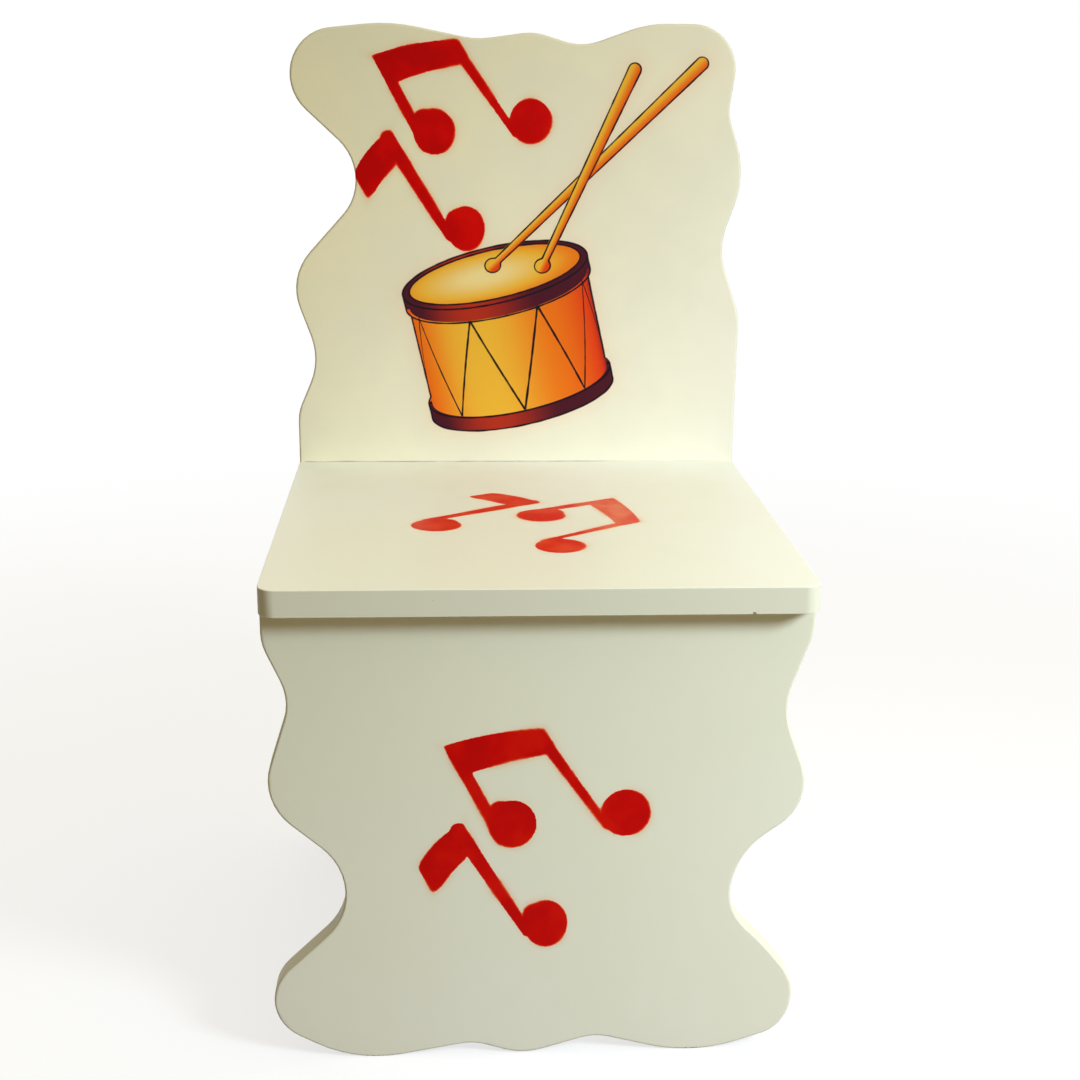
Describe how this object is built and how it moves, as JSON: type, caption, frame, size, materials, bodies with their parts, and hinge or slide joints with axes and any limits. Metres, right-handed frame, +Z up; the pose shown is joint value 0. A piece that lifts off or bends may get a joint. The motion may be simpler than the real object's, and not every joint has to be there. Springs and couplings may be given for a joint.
{
  "type": "child's chair",
  "caption": "Small child's chair: a tall wavy back board and a short wavy front board carry a flat seat, tied by rails under it.",
  "frame": {"origin": "on the floor, under the middle of the chair's bounding box", "axes": "+Z up, +Y to the rear, from the seat's front edge to the back board, and +X to the right of someone who looks at the chair from the front"},
  "size_m": [0.315, 0.3132, 0.61],
  "materials": {
    "board_lacquer": "cream satin lacquer sprayed on medium-density fibreboard, with painted decoration",
    "rail_lacquer": "one plain coat of the cream lacquer on medium-density fibreboard",
    "dowel_beech": "bare fluted beech",
    "screw_steel": "bright zinc plate",
    "cap_plastic": "moulded cream plastic"
  },
  "bodies": {
    "root": {"back_board": "board_lacquer", "front_board": "board_lacquer", "seat_board": "board_lacquer", "left_side_rail": "rail_lacquer", "right_side_rail": "rail_lacquer", "lower_stretcher": "rail_lacquer", "seat_front_dowels": "dowel_beech", "left_rail_front_dowels": "dowel_beech", "right_rail_front_dowels": "dowel_beech", "left_rail_seat_dowels": "dowel_beech", "right_rail_seat_dowels": "dowel_beech", "stretcher_front_dowels": "dowel_beech", "seat_rear_screws": "screw_steel", "left_rail_rear_screws": "screw_steel", "right_rail_rear_screws": "screw_steel", "stretcher_rear_screws": "screw_steel", "seat_screw_caps": "cap_plastic", "left_rail_screw_caps": "cap_plastic", "right_rail_screw_caps": "cap_plastic", "stretcher_screw_caps": "cap_plastic"}
  },
  "joints": []
}
